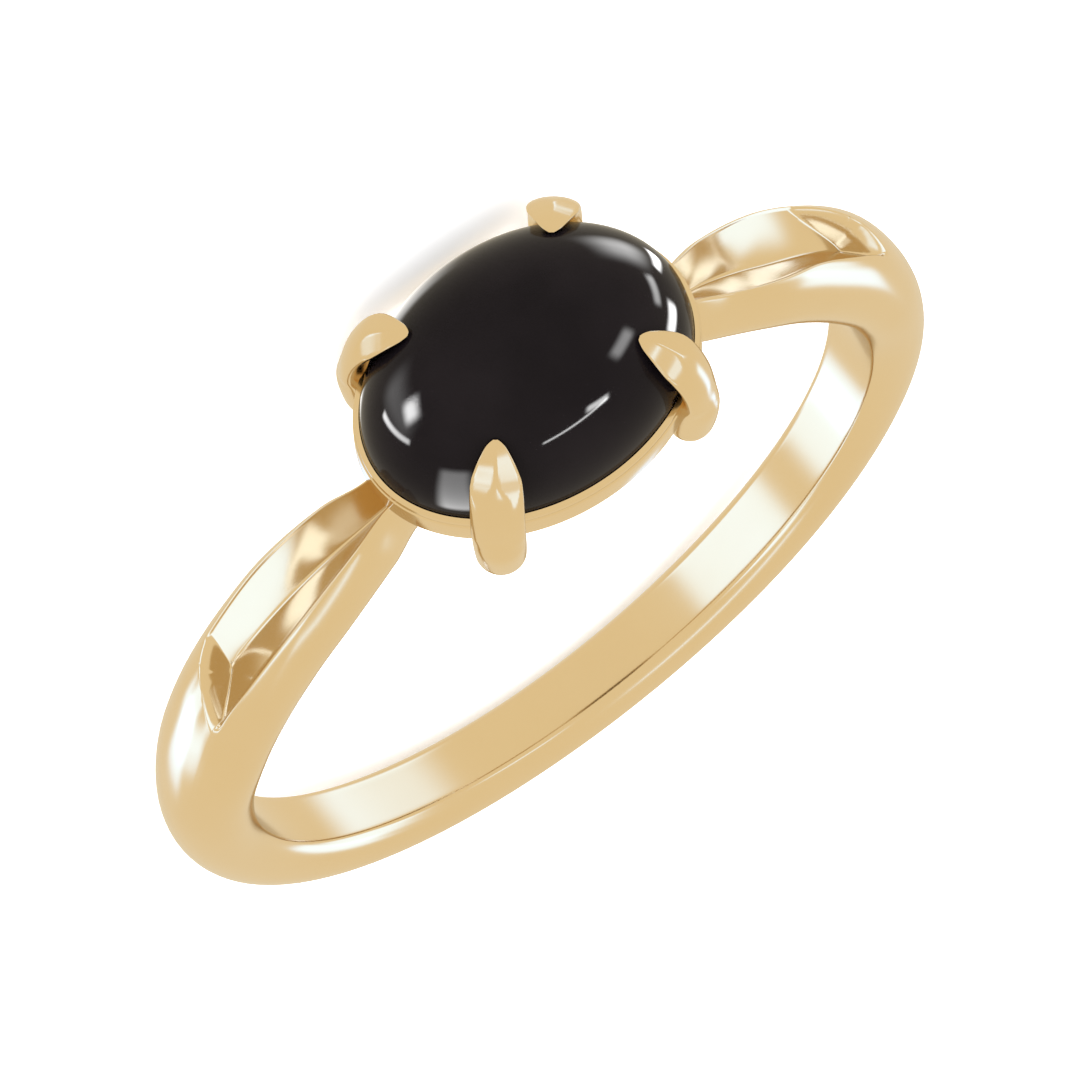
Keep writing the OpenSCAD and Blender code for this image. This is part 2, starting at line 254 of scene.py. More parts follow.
def curve(rows, x):
    """A smooth curve through the rows of a table, level at both its ends."""
    if x <= rows[0][0]:
        return rows[0][1]
    if x >= rows[-1][0]:
        return rows[-1][1]
    last = len(rows) - 1

    def slope(k):
        if k in (0, last):
            return 0
        return (rows[k + 1][1] - rows[k - 1][1]) / (rows[k + 1][0] - rows[k - 1][0])

    i = max(k for k in range(last) if rows[k][0] <= x)
    run = rows[i + 1][0] - rows[i][0]
    s = (x - rows[i][0]) / run
    s2 = s * s
    s3 = s2 * s
    return (
        (2 * s3 - 3 * s2 + 1) * rows[i][1]
        + (s3 - 2 * s2 + s) * run * slope(i)
        + (3 * s2 - 2 * s3) * rows[i + 1][1]
        + (s3 - s2) * run * slope(i + 1)
    )


def spread(start, stop, count):
    """Evenly spread values, without the last one."""
    return [mix(start, stop, i / count) for i in range(count)]


def spread_marks(marks, counts):
    """Values spread evenly from mark to mark, a count for each stretch, without the last mark."""
    stretches = zip(marks, marks[1:], counts)
    return [value for start, stop, count in stretches for value in spread(start, stop, count)]


def bend(start, corner, end, count):
    """Points of a rounded corner, without its last point."""
    points = []
    for i in range(count):
        t = i / count
        a = start.lerp(corner, t)
        b = corner.lerp(end, t)
        points.append(a.lerp(b, t))
    return points


class RingShape:
    """Sizes and curves of the upright ring, worked out from its settings. Angles are in degrees."""

    # Numbers of steps along the stretches of half a section: finger hole, its edge, side, crown and
    # bevel, and then across the groove
    BORE_STEPS = 6
    EDGE_STEPS = 5
    WALL_STEPS = 14
    CROWN_STEPS = 16
    BEVEL_STEPS = 6
    GROOVE_STEPS = (12, 10, 12, 8)
    # The band's side is the part of a quarter of an oval that comes after this angle
    WALL_START = 30
    # The bevel's corner lies this part of its width in from the crown
    LIP_PART = 1 / 3
    # Bulge of the groove's walls, and how its end rounds off at the crown and starts at its foot
    GROOVE_HOLLOW = 1.1
    END_ROUND = 2
    END_SOFT = 0.35
    # Height of the collet's rim over the place where the shoulders meet its ends
    NECK_DROP = 0.2 * MM
    # Least space between the lines of points that run along the groove
    LEAST_GAP = 0.08 * MM

    def __init__(self, sizes):
        self.s = sizes
        self.finger_r = sizes.finger_d / 2
        self.rim_z = self.finger_r + sizes.bridge_t + sizes.collet_lift + sizes.collet_h
        self.collet_z = self.rim_z - sizes.collet_h
        self.seat_z = self.rim_z - sizes.stone_foot - sizes.stone_gap
        self.stone_a = sizes.stone_l / 2
        self.stone_b = sizes.stone_w / 2
        self.wall_out = sizes.stone_gap + sizes.lip_t
        collet_a = self.stone_a + self.wall_out
        shoulder_z = self.rim_z - self.NECK_DROP
        self.neck_angle = math.degrees(math.atan2(collet_a, shoulder_z))
        self.neck_t = math.hypot(collet_a, shoulder_z) - self.finger_r
        self.groove_angle = self.neck_angle + self.arc_angle(sizes.groove_l)
        self.groove_stop = self.groove_angle + self.arc_angle(
            sizes.groove_slant / 2 + sizes.groove_rise
        )

    def arc_angle(self, run):
        """Angle of a run along the top of the shoulder."""
        return math.degrees(run / (self.finger_r + self.s.shoulder_t))

    def way(self, a):
        """Way along the band from the neck, at 0, to the bottom, at 1."""
        return (a - self.neck_angle) / (180 - self.neck_angle)

    def thickness(self, a):
        """Thickness of the band at an angle from the middle of the head."""
        s = self.s
        if a < self.neck_angle:
            return mix(s.bridge_t, self.neck_t, curve(NECK_RISE, a / self.neck_angle))
        full = mix(s.base_t, s.shoulder_t, curve(THICKNESS, self.way(a)))
        return mix(self.neck_t, full, ease(self.way(a) / THICKNESS[1][0]))

    def half_width(self, a):
        """Half the width of the band."""
        s = self.s
        if self.way(a) < BAND_WIDTH[0][0]:
            return mix(s.neck_w, s.shoulder_w, curve(NECK_WIDTH, self.way(a))) / 2
        return mix(s.base_w, s.shoulder_w, curve(BAND_WIDTH, self.way(a))) / 2

    def belly_h(self, a):
        """Height of the band's widest place over the finger hole."""
        return self.thickness(a) * curve(BELLY, self.way(a))

    def crown(self, a, y):
        """Height of the band's round top, groove left out."""
        part = min(1, abs(y) / self.half_width(a))
        low = self.belly_h(a)
        return low + (self.thickness(a) - low) * math.sqrt(1 - part * part)

    def groove_part(self, a):
        """Share of the groove's length."""
        return (a - self.neck_angle) / (self.groove_angle - self.neck_angle)

    def valley_y(self, a, side):
        """Place of the groove's bottom across the band."""
        return side * self.s.groove_swing * curve(SWING[side], self.groove_part(a))

    def crest_y(self, a, side, face):
        """Distance of the groove's front or back edge from the band's middle."""
        table = CREST_WIDE if (side, face) == (RIGHT, FRONT) else CREST
        return self.half_width(a) * curve(table, self.way(a))

    def bevel(self, face):
        """Width of the bevel along the groove's front or back edge."""
        return self.s.groove_bevel * (BACK_BEVEL if face == BACK else 1)

    def end_slope(self, side, face):
        """How much further round the groove's end is for each step across the band."""
        slope = self.arc_angle(self.s.groove_slant) / self.s.shoulder_w
        return slope * BACK_SLANT[side] if face == BACK else slope

    def end_y(self, a, side):
        """Place across the band where the groove's end begins to rise."""
        face = BACK if a < self.groove_angle else FRONT
        return (self.groove_angle - a) / self.end_slope(side, face)

    def filled(self, a, y, side):
        """How far the groove's end has risen to the crown."""
        start = self.groove_angle - y * self.end_slope(side, BACK if y > 0 else FRONT)
        part = clamp((a - start) / self.arc_angle(self.s.groove_rise), 0, 1)
        part *= part * (1 + self.END_SOFT) / (part + self.END_SOFT)
        return 1 - (1 - part) ** self.END_ROUND

    def groove_h(self, a, y, side):
        """Height of the groove's surface over the finger hole."""
        s = self.s
        valley = self.valley_y(a, side)
        face = BACK if y > valley else FRONT
        crest = self.crest_y(a, side, face)
        floor = mix(s.groove_floor_t, s.groove_end_t, curve(FLOOR, self.groove_part(a)))
        low = min(floor, self.crown(a, valley))
        high = max(low, self.crown(a, crest) - self.bevel(face))
        reach = crest - self.bevel(face) - face * valley
        wall = mix(low, high, (abs(y - valley) / reach) ** self.GROOVE_HOLLOW)
        crown = self.crown(a, y)
        return mix(min(wall, crown), crown, self.filled(a, y, side))

    def half_section(self, a, crest):
        """Half the section as (y, height) points, from the middle of the finger hole to a crest."""
        wide = self.half_width(a)
        inner = wide * curve(INNER_WIDTH, self.way(a))
        high = self.belly_h(a)
        top = self.thickness(a)
        start = math.radians(self.WALL_START)

        def wall(t):
            return Vector((
                inner + (wide - inner) * (math.sin(t) - math.sin(start)) / (1 - math.sin(start)),
                high * (math.cos(start) - math.cos(t)) / math.cos(start),
            ))

        first = start + (math.pi / 2 - start) / self.WALL_STEPS
        corner = Vector((inner, 0))
        flat_end = Vector((inner - self.s.edge_r, 0))
        rise = wall(first) - corner
        edge_end = corner + rise.normalized() * min(self.s.edge_r, rise.length)
        points = [Vector((y, 0)) for y in spread(0, flat_end.x, self.BORE_STEPS)]
        points += bend(flat_end, corner, edge_end, self.EDGE_STEPS)
        points += [wall(t) for t in spread(first, math.pi / 2, self.WALL_STEPS - 1)]
        edge = math.acos(crest / wide)
        for i in range(self.CROWN_STEPS + 1):
            t = edge * i / self.CROWN_STEPS
            points.append(Vector((wide * math.cos(t), high + (top - high) * math.sin(t))))
        return points

    def groove_ys(self, a, side):
        """Places across the groove, with lines of points on its bottom and its end's two edges."""
        front = self.bevel(FRONT) - self.crest_y(a, side, FRONT)
        back = self.crest_y(a, side, BACK) - self.bevel(BACK)
        gap = self.LEAST_GAP
        face = BACK if a < self.groove_angle else FRONT
        end = clamp(self.end_y(a, side), front + 2 * gap, back - 2 * gap)
        rise = self.arc_angle(self.s.groove_rise) / self.end_slope(side, face)
        rim = clamp(end + rise, end + gap, back - gap)
        low = clamp(self.valley_y(a, side), front + gap, end - gap)
        return spread_marks([front, low, end, rim, back], self.GROOVE_STEPS) + [back]

    def section(self, a, side):
        """The whole section, from the middle of the finger hole round by the front to the back."""
        groove = [Vector((y, self.groove_h(a, y, side))) for y in self.groove_ys(a, side)]
        halves = []
        for face, foot in ((FRONT, groove[0]), (BACK, groove[-1])):
            crest = self.crest_y(a, side, face)
            lip = self.bevel(face) * self.LIP_PART
            half = [Vector((face * p.x, p.y)) for p in self.half_section(a, crest)]
            corner = Vector((face * (crest - lip), self.crown(a, crest - lip)))
            halves.append(half[:-1] + bend(half[-1], corner, foot, self.BEVEL_STEPS))
        return halves[0] + groove + halves[1][:0:-1]


def tube_faces(rings, sides, closed):
    """Faces of a tube of rings of points."""
    faces = []
    for i in range(rings if closed else rings - 1):
        for j in range(sides):
            a = i * sides
            b = (i + 1) % rings * sides
            k = (j + 1) % sides
            faces.append((a + j, a + k, b + k, b + j))
    return faces


def add_piece(name, points, faces, material, node):
    """Makes a smooth closed piece from upright points, laid down and put in its node's place."""
    mesh = bpy.data.meshes.new(name)
    mesh.from_pydata([LAID @ p for p in points], [], faces)
    bm = bmesh.new()
    bm.from_mesh(mesh)
    bmesh.ops.recalc_face_normals(bm, faces=bm.faces)
    bm.to_mesh(mesh)
    bm.free()
    mesh.shade_smooth()
    mesh.materials.append(material)
    piece = bpy.data.objects.new(name, mesh)
    bpy.context.scene.collection.objects.link(piece)
    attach(piece, "root")
    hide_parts(node)
    return piece


# Numbers of sections along half the band: bridge, neck, groove, shoulder and bottom
BAND_STEPS = (8, 14, 240, 20, 40)
# Sides of the rings that the collet and the stone are made of
OVAL_SIDES = 192


def band_mesh(shape):
    """Points and faces of the band, a closed tube of sections round the finger."""
    neck = shape.neck_angle
    marks = [0, NECK_RISE[1][0] * neck, neck, shape.groove_stop, 90, 180]
    half = spread_marks(marks, BAND_STEPS)
    turns = [(a, RIGHT) for a in half] + [(180, RIGHT)] + [(-a, LEFT) for a in half[:0:-1]]
    points = []
    for a, side in turns:
        section = shape.section(abs(a), side)
        t = math.radians(a)
        for p in section:
            r = shape.finger_r + p.y
            points.append(Vector((r * math.sin(t), p.x, r * math.cos(t))))
    return points, tube_faces(len(turns), len(section), True)


def oval(a, b, z):
    """A ring of points on an oval."""
    turns = spread(0, math.tau, OVAL_SIDES)
    return [Vector((a * math.cos(t), b * math.sin(t), z)) for t in turns]


def collet_mesh(shape):
    """Points and faces of the collet, one rounded profile run round the stone's outline."""
    s = shape.s
    bend_steps = 4
    # The lip's inner face and the wall's outer face, measured out from the stone's widest line
    near = 0.25 * s.stone_gap
    out = 0.65 * shape.wall_out
    # The step in the wall, its height under the rim, and how far its corners are rounded
    step = 0.15 * s.lip_t
    line = 0.24 * s.collet_h
    soft = 0.2 * s.lip_t
    fine = 0.04 * s.lip_t
    # Place out from the stone, height, and rounding of each corner
    corners = [
        (-s.ledge_w, shape.collet_z, soft), (out, shape.collet_z, soft),
        (out, shape.rim_z - line, step / 2), (out - step, shape.rim_z - line + step, step / 2),
        (out - step, shape.rim_z - soft / 2, soft / 2), (near, shape.rim_z + soft / 2, fine),
        (near, shape.seat_z, fine), (-s.ledge_w, shape.seat_z, soft),
    ]
    profile = []
    count = len(corners)
    for i, (x, z, r) in enumerate(corners):
        here = Vector((x, z))
        before = Vector(corners[i - 1][:2])
        after = Vector(corners[(i + 1) % count][:2])
        start = here + (before - here).normalized() * r
        end = here + (after - here).normalized() * r
        profile += bend(start, here, end, bend_steps) + [end]
    points = []
    for p in profile:
        points += oval(shape.stone_a + p.x, shape.stone_b + p.x, p.y)
    return points, tube_faces(len(profile), OVAL_SIDES, True)


class ClawShape:
    """A claw in an upright plane that crosses the stone's outline, nearly squarely."""

    # Points round a claw, and rings from one row of its tables to the next
    SIDES = 48
    STEPS = 10
    # How far each facet of the keel is turned from the way that the claw faces
    FACET_TURN = math.radians(45)

    def __init__(self, shape):
        s = shape.s
        self.shape = shape
        c = math.cos(s.claw_angle)
        n = math.sin(s.claw_angle)
        self.edge = Vector((shape.stone_a * c, shape.stone_b * n))
        square = math.atan2(shape.stone_a * n, shape.stone_b * c)
        self.out = Vector((math.cos(square - s.claw_turn), math.sin(square - s.claw_turn)))
        self.dome_b = self.out.x * c / shape.stone_a + self.out.y * n / shape.stone_b
        self.dome_c = (self.out.x / shape.stone_a) ** 2 + (self.out.y / shape.stone_b) ** 2
        foot_r = shape.finger_r + s.claw_lift + s.claw_t / 2
        self.foot_z = math.sqrt(foot_r**2 - self.edge.x**2) - s.claw_t / 2
        self.rows = [self.body_row(row) for row in CLAW_BODY]
        self.rows += [self.talon_row(row) for row in CLAW_TALON]

    def dome_point(self, degrees):
        """A point of the dome in the claw's plane, as (out, up)."""
        t = math.radians(degrees)
        inside = self.dome_b**2 - self.dome_c * math.sin(t) ** 2
        return Vector((
            (math.sqrt(inside) - self.dome_b) / self.dome_c,
            self.shape.rim_z + self.shape.s.dome_h * math.sin(t),
        ))

    def dome_normal(self, degrees):
        """The way that the dome faces there."""
        if degrees < 1:
            return Vector((1, 0))
        step = self.dome_point(degrees + 1) - self.dome_point(degrees - 1)
        return Vector((step.y, -step.x)).normalized()

    def body_row(self, row):
        """A row of the body as outer point, inner point, width and keel."""
        s = self.shape.s
        z = mix(self.foot_z, self.shape.rim_z, row[0])
        out = s.claw_stand * row[1]
        return (out, z, out - s.claw_t * row[2], z, s.claw_w * row[3], 0)

    def talon_row(self, row):
        """A row of the talon, likewise."""
        s = self.shape.s
        p = self.dome_point(row[0])
        n = self.dome_normal(row[0])
        outer = p + n * s.claw_stand * row[2]
        inner = p + n * max(s.stone_gap, s.claw_stand * row[1])
        return (outer.x, outer.y, inner.x, inner.y, s.claw_w * row[3], row[4])

    def smooth_row(self, k):
        """The rows joined by a smooth curve."""
        last = len(self.rows) - 1
        i = min(last - 1, int(k))
        s = k - i
        rows = [self.rows[clamp(i + j, 0, last)] for j in (-1, 0, 1, 2)]
        return [
            (
                2 * b
                + (c - a) * s
                + (2 * a - 5 * b + 4 * c - d) * s**2
                + (3 * b - a - 3 * c + d) * s**3
            ) / 2
            for a, b, c, d in zip(*rows)
        ]

    def ring(self, row):
        """A ring of points round a row, with two flat facets where it is keeled."""
        outer = Vector(row[0:2])
        inner = Vector(row[2:4])
        middle = (outer + inner) / 2
        half = (outer - inner) / 2
        turned = self.FACET_TURN
        limit = mix(1, math.cos(turned), clamp(row[5], 0, 1))
        points = []
        for j in range(self.SIDES):
            t = math.tau * j / self.SIDES
            facing = math.cos(t) * math.cos(turned) + abs(math.sin(t)) * math.sin(turned)
            reach = min(1, limit / facing) if math.cos(t) > 0 else 1
            p = middle + half * reach * math.cos(t)
            across = row[4] / 2 * reach * math.sin(t)
            points.append(Vector((
                self.edge.x + self.out.x * p.x - self.out.y * across,
                self.edge.y + self.out.y * p.x + self.out.x * across,
                p.y,
            )))
        return points

    def mesh(self, x, y):
        """Points and faces of the claw in one quarter of the ring."""
        count = (len(self.rows) - 1) * self.STEPS + 1
        rings = [self.ring(self.smooth_row(i / self.STEPS)) for i in range(count)]
        points = [Vector((x * p.x, y * p.y, p.z)) for ring in rings for p in ring]
        ends = [tuple(range(self.SIDES)), tuple(range(len(points) - self.SIDES, len(points)))]
        return points, tube_faces(count, self.SIDES, False) + ends


def stone_mesh(shape):
    """Points and faces of the stone: a flat foot, a side that leans out, and a round dome."""
    dome_steps = 48
    s = shape.s
    low = -s.stone_foot
    # The foot and its soft edge's width, as shares of the stone's outline, and that edge's height
    foot = 0.93
    soft = 0.02
    soft_h = 0.04 * MM
    # Share of the stone's outline, and height over its widest line, of each ring
    rings = [(0.5, low), (foot - soft, low), (foot, low + soft_h)]
    rings += [(mix(foot, 1, part), low * (1 - part)) for part in (0.3, 0.6, 0.85)]
    rings += [
        (math.cos(t), s.dome_h * math.sin(t)) for t in spread(0, math.pi / 2, dome_steps)
    ]
    points = []
    for part, z in rings:
        points += oval(shape.stone_a * part, shape.stone_b * part, shape.rim_z + z)
    top = len(points)
    last = top - OVAL_SIDES
    points.append(Vector((0, 0, shape.rim_z + s.dome_h)))
    points.append(Vector((0, 0, shape.rim_z + low)))
    faces = tube_faces(len(rings), OVAL_SIDES, False)
    for j in range(OVAL_SIDES):
        k = (j + 1) % OVAL_SIDES
        faces.append((last + j, last + k, top))
        faces.append((k, j, top + 1))
    return points, faces


def new_group(name, inputs, outputs):
    """An empty shader node group with named number sockets, with its two end nodes."""
    group = bpy.data.node_groups.new(name, "ShaderNodeTree")
    kind = "NodeSocketFloat"
    for label, value in inputs.items():
        socket = group.interface.new_socket(name=label, in_out="INPUT", socket_type=kind)
        socket.default_value = value
    for label in outputs:
        group.interface.new_socket(name=label, in_out="OUTPUT", socket_type=kind)
    return group, group.nodes.new("NodeGroupInput"), group.nodes.new("NodeGroupOutput")


def add_node(tree, kind, **values):
    """A new shader node with values on its named sockets, where _ stands for a space."""
    node = tree.nodes.new(f"ShaderNode{kind}")
    for label, value in values.items():
        node.inputs[label.replace("_", " ")].default_value = value
    return node


def add_math(tree, operation, *values):
    """A new maths node with values on its sockets after the first."""
    node = add_node(tree, "Math")
    node.operation = operation
    for socket, value in zip(list(node.inputs)[1:], values):
        socket.default_value = value
    return node


def polish_group():
    """Fine polishing marks and soft unevenness: how dull it is, and its height."""
    name = "Polish Marks"
    if name in bpy.data.node_groups:
        return bpy.data.node_groups[name]
    # The fine marks are this many times finer than the soft unevenness
    finer_by = 9
    group, start, end = new_group(
        name, {"Roughness": 0.1, "Variation": 0.3, "Scale": 1500}, ["Roughness", "Height"]
    )
    link = group.links.new
    place = add_node(group, "TexCoord")
    soft = add_node(group, "TexNoise", Detail=4)
    link(place.outputs["Object"], soft.inputs["Vector"])
    link(start.outputs["Scale"], soft.inputs["Scale"])
    fine = add_node(group, "TexNoise", Detail=8, Roughness=0.7)
    finer = add_math(group, "MULTIPLY", finer_by)
    link(start.outputs["Scale"], finer.inputs[0])
    link(place.outputs["Object"], fine.inputs["Vector"])
    link(finer.outputs[0], fine.inputs["Scale"])
    swing = add_node(group, "MapRange", To_Min=-1, To_Max=1)
    link(soft.outputs["Fac"], swing.inputs["Value"])
    amount = add_math(group, "MULTIPLY")
    link(swing.outputs["Result"], amount.inputs[0])
    link(start.outputs["Variation"], amount.inputs[1])
    whole = add_math(group, "MULTIPLY_ADD")
    link(amount.outputs[0], whole.inputs[0])
    link(start.outputs["Roughness"], whole.inputs[1])
    link(start.outputs["Roughness"], whole.inputs[2])
    link(whole.outputs[0], end.inputs["Roughness"])
    link(fine.outputs["Fac"], end.inputs["Height"])
    return group


def mottle_group():
    """Soft cloudy patches: a mask from 0 to 1."""
    name = "Soft Mottle"
    if name in bpy.data.node_groups:
        return bpy.data.node_groups[name]
    group, start, end = new_group(name, {"Scale": 500, "Detail": 3}, ["Mask"])
    link = group.links.new
    place = add_node(group, "TexCoord")
    cloud = add_node(group, "TexNoise")
    link(place.outputs["Object"], cloud.inputs["Vector"])
    link(start.outputs["Scale"], cloud.inputs["Scale"])
    link(start.outputs["Detail"], cloud.inputs["Detail"])
    stretched = add_node(group, "MapRange", From_Min=0.35, From_Max=0.65)
    link(cloud.outputs["Fac"], stretched.inputs["Value"])
    link(stretched.outputs["Result"], end.inputs["Mask"])
    return group


# Depth of the polishing marks where their bump is at full strength
MARK_DEPTH = 0.002 * MM


def base_material(name, colours, polish, mottle, bump):
    """A material whose colour, roughness and bump come from the two shared groups."""
    material = bpy.data.materials.new(name)
    material.use_nodes = True
    tree = material.node_tree
    link = tree.links.new
    shader = tree.nodes["Principled BSDF"]
    marks = add_node(tree, "Group")
    cloud = add_node(tree, "Group")
    for node, group, values in ((marks, polish_group(), polish), (cloud, mottle_group(), mottle)):
        node.node_tree = group
        for label, value in values.items():
            node.inputs[label].default_value = value
    blend = add_node(tree, "Mix")
    blend.data_type = "RGBA"
    blend.inputs["A"].default_value, blend.inputs["B"].default_value = colours
    link(cloud.outputs["Mask"], blend.inputs["Factor"])
    link(blend.outputs["Result"], shader.inputs["Base Color"])
    link(marks.outputs["Roughness"], shader.inputs["Roughness"])
    relief = add_node(tree, "Bump", Strength=bump, Distance=MARK_DEPTH)
    link(marks.outputs["Height"], relief.inputs["Height"])
    link(relief.outputs["Normal"], shader.inputs["Normal"])
    return material, shader


# How strongly the stone bends light
STONE_IOR = 1.54


def gold_material(finish):
    """Polished yellow gold."""
    name = "Polished gold"
    if name in bpy.data.materials:
        return bpy.data.materials[name]
    material, shader = base_material(
        name,
        (finish.gold, finish.gold_shade),
        {"Roughness": finish.gold_rough, "Variation": 0.15, "Scale": 900},
        {"Scale": 350, "Detail": 3},
        0.1,
    )
    shader.inputs["Metallic"].default_value = 1
    return material


def stone_material(finish):
    """Polished black stone."""
    name = "Polished stone"
    material, shader = base_material(
        name,
        (finish.stone, finish.stone_vein),
        {"Roughness": finish.stone_rough, "Variation": 0.2, "Scale": 700},
        {"Scale": 420, "Detail": 5},
        0.03,
    )
    shader.inputs["IOR"].default_value = STONE_IOR
    shader.inputs["Specular IOR Level"].default_value = finish.stone_gloss
    return material


class RING_OT_band(bpy.types.Operator):
    """Build the band with its two grooved shoulders"""

    bl_idname = "ring.band"
    bl_label = "Band"
    bl_options = {"REGISTER", "UNDO"}

    def execute(self, context):
        scene = context.scene
        points, faces = band_mesh(RingShape(scene.ring_sizes))
        add_piece("band", points, faces, gold_material(scene.ring_finish), "mounting")
        return {"FINISHED"}


class RING_OT_collet(bpy.types.Operator):
    """Build the oval collet with its lip and the ledge under the stone"""

    bl_idname = "ring.collet"
    bl_label = "Collet"
    bl_options = {"REGISTER", "UNDO"}

    def execute(self, context):
        scene = context.scene
        points, faces = collet_mesh(RingShape(scene.ring_sizes))
        add_piece("collet", points, faces, gold_material(scene.ring_finish), "mounting")
        return {"FINISHED"}


class RING_OT_claws(bpy.types.Operator):
    """Build the four claws that hold the stone"""

    bl_idname = "ring.claws"
    bl_label = "Claws"
    bl_options = {"REGISTER", "UNDO"}

    # The signs of each claw's quarter of the upright ring
    PLACES = {
        "front_left": (-1, -1), "front_right": (1, -1), "back_left": (-1, 1), "back_right": (1, 1),
    }

    def execute(self, context):
        scene = context.scene
        claw = ClawShape(RingShape(scene.ring_sizes))
        gold = gold_material(scene.ring_finish)
        for place, (x, y) in self.PLACES.items():
            points, faces = claw.mesh(x, y)
            add_piece(f"claw_{place}", points, faces, gold, "mounting")
        return {"FINISHED"}


class RING_OT_stone(bpy.types.Operator):
    """Build the oval stone with its round dome"""

    bl_idname = "ring.stone"
    bl_label = "Stone"
    bl_options = {"REGISTER", "UNDO"}

    def execute(self, context):
        scene = context.scene
        points, faces = stone_mesh(RingShape(scene.ring_sizes))
        add_piece("stone", points, faces, stone_material(scene.ring_finish), "cabochon")
        return {"FINISHED"}


# Each panel is a softly lit strip of a sphere round the ring, which only shows in reflections.
# Name, azimuth and elevation of its start and of its end, its width and the width of its soft
# edge, all in degrees, and its strength. The groove panels show in second reflections.
BAND_PANELS = [
    ("bore_left", -112, -20, -48, -20, 34, 16, 1.3),
    ("bore_right", 35, -20, 83, -20, 34, 6, 1.35),
    ("bore_far", 94, -20, 146, -24, 26, 7, 1.35),
    ("band_left", 125, 6, 128, -46, 18, 7, 1.5),
    ("band_left_top", 76, 22, 122, 2, 14, 5, 1.4),
    ("lobe_left", 93, 28, 113, 65, 30, 6, 1.45),
    ("lobe_right", -138, 30, -92, 31, 34, 9, 1.4),
    ("front_right", -138, 11, -139, 40, 17, 5, 1.5),
    ("edge_right", -89, 56, -88, 78, 10, 4, 1.3),
    ("crest_left", 148, 51, -166, 60, 7, 2.5, 1.3),
]
GROOVE_PANELS = [
    ("crescent_right", -89, -15, -69, 1, 14, 4, 3.3),
    ("crescent_top", -66, 0, -68, 35, 21, 7, 3.0),
    ("leaf_end", 59, 22, 61, -11, 33, 5, 2.8),
    ("leaf_shade", 36, 6, 60, -54, 24, 8, 0.9),
]
COLLET_PANELS = [
    ("collet_left", 146, -31, 186, -26, 12, 5, 1.3),
    ("collet_right", -167, -7, -161, 7, 8, 3, 1.3),
]
CLAW_PANELS = [
    ("talon_left", 56, 2, 70, 14, 9, 3, 1.5),
    ("ridge_left", -20, 42, -8, 72, 8, 3, 1.5),
    ("side_left", 58, 54, 97, 56, 10, 4, 1.3),
    ("edge_top", -2, 74, 160, 66, 10, 4, 1.3),
    ("belly_left", 98, -12, 112, 8, 10, 4, 1.3),
    ("shoulder_right", -148, 2, -118, 22, 12, 5, 1.6),
    ("ridge_right", -50, 12, -94, 30, 12, 4, 1.4),
    ("facet_right", -60, 55, -58, 69, 8, 3, 1.3),
    ("facet_back", 56, -41, 80, -50, 10, 4, 1.4),
    ("ridge_back", -112, -52, -90, -34, 10, 4, 1.4),
]
STONE_PANELS = [
    ("window_small", -67, 26, -55, 46, 14, 6, 26),
    ("window_edge", -109, 2, -110, 24, 15, 5, 46),
    ("streak_far", -128, -27, -106, -14, 8, 4, 32),
    ("streak_near", -92, -11, -92, 13, 11, 5, 21),
    ("haze_right", -110, -42, -80, -16, 36, 16, 13),
    ("rim_left", -180, -74, -176, -26, 26, 12, 3),
    ("spot_left", 58, -32, 68, -11, 21, 9, 84),
    ("haze_left", 74, -62, 72, -4, 34, 16, 6),
    ("crescent_left", 95, -43, 81, -6, 7, 3, 54),
    ("patch_front", 88, 33, 150, 17, 25, 7, 17),
    ("line_bright", -77, 64, -48, 74, 7, 3, 64),
    ("line_long", -77, 65, 60, 78, 3, 1.5, 64),
]
PANEL_R = 300 * MM
PANEL_STEPS = 24
# The room counts one bounce more than a panel does, so this parts its first reflections from its
# second ones
ROOM_TWICE = 2.5
# How far the camera stands to the right of the finger hole's centre, and above it, in its own view
AIM = (-0.054 * MM, 0.366 * MM)
CAMERA_RANGE = (0.01, 10)
FLOOR_ROUGH = 0.6


def direction(a, e):
    """The way out from the ring at an azimuth and an elevation in radians."""
    return Vector((math.sin(a) * math.cos(e), -math.cos(a) * math.cos(e), math.sin(e)))


def glow_material(name, colour, power, bounce):
    """Light that fades towards a panel's edge and shows in one bounce's reflections only."""
    material = bpy.data.materials.new(name)
    material.use_nodes = True
    tree = material.node_tree
    tree.nodes.clear()
    glow = add_node(tree, "Attribute")
    glow.attribute_name = "glow"
    path = add_node(tree, "LightPath")
    # The bounce is a whole number, so half of one is room enough either way
    this_bounce = add_math(tree, "COMPARE", bounce, 0.5)
    strength = add_math(tree, "MULTIPLY", power)
    seen = add_math(tree, "MULTIPLY")
    shader = add_node(tree, "Emission", Color=colour)
    clear = add_node(tree, "BsdfTransparent")
    both = add_node(tree, "AddShader")
    out = add_node(tree, "OutputMaterial")
    link = tree.links.new
    link(glow.outputs["Fac"], strength.inputs[0])
    link(path.outputs["Ray Depth"], this_bounce.inputs[0])
    link(strength.outputs[0], seen.inputs[0])
    link(this_bounce.outputs[0], seen.inputs[1])
    link(seen.outputs[0], shader.inputs["Strength"])
    link(shader.outputs[0], both.inputs[0])
    link(clear.outputs[0], both.inputs[1])
    link(both.outputs[0], out.inputs["Surface"])
    material.cycles.emission_sampling = "NONE"
    return material


